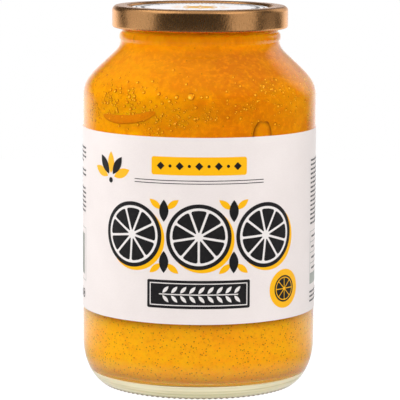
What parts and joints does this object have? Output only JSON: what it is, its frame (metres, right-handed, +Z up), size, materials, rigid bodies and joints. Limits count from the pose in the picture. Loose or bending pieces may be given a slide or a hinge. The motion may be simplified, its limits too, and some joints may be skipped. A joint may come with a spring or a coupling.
{
  "type": "preserve jar",
  "caption": "Tall round glass jar of amber citrus preserve with strips of peel, a paper wrap label and a twist-off metal lid.",
  "frame": {"origin": "centre of the base, on the surface that the jar stands on", "axes": "+Z up along the jar's axis; the front of the label faces -Y and the label's seam is at the back, +Y"},
  "size_m": [0.1144, 0.1144, 0.1854],
  "materials": {
    "glass": "clear polished",
    "preserve": "translucent amber",
    "peel": "candied",
    "label": "satin coated",
    "lid": "gold lacquered tinplate",
    "gasket": "matte",
    "sticker": "matte"
  },
  "bodies": {
    "jar": {"glass_jar": "glass", "preserve": "preserve", "label": "label", "peel_01": "peel", "peel_02": "peel", "peel_03": "peel", "peel_04": "peel", "peel_05": "peel", "peel_06": "peel", "peel_07": "peel", "peel_08": "peel", "peel_09": "peel", "peel_10": "peel", "peel_11": "peel", "peel_12": "peel", "peel_13": "peel", "peel_14": "peel"},
    "seal": {"lid_gasket": "gasket"},
    "lid": {"lid": "lid", "lid_sticker": "sticker"}
  },
  "joints": [
    {"name": "lid_rise", "type": "slide", "parent": "jar", "child": "seal", "axis": [0, 0, 1], "range_m": [0, 0.00147]},
    {"name": "lid_turn", "type": "hinge", "parent": "seal", "child": "lid", "pos_m": [0, 0, 0.1759], "axis": [0, 0, 1], "range_deg": [0, 45]}
  ],
  "couplings": [
    {"joint": "lid_rise", "follows": "lid_turn", "m_per_rad": 0.001878}
  ]
}
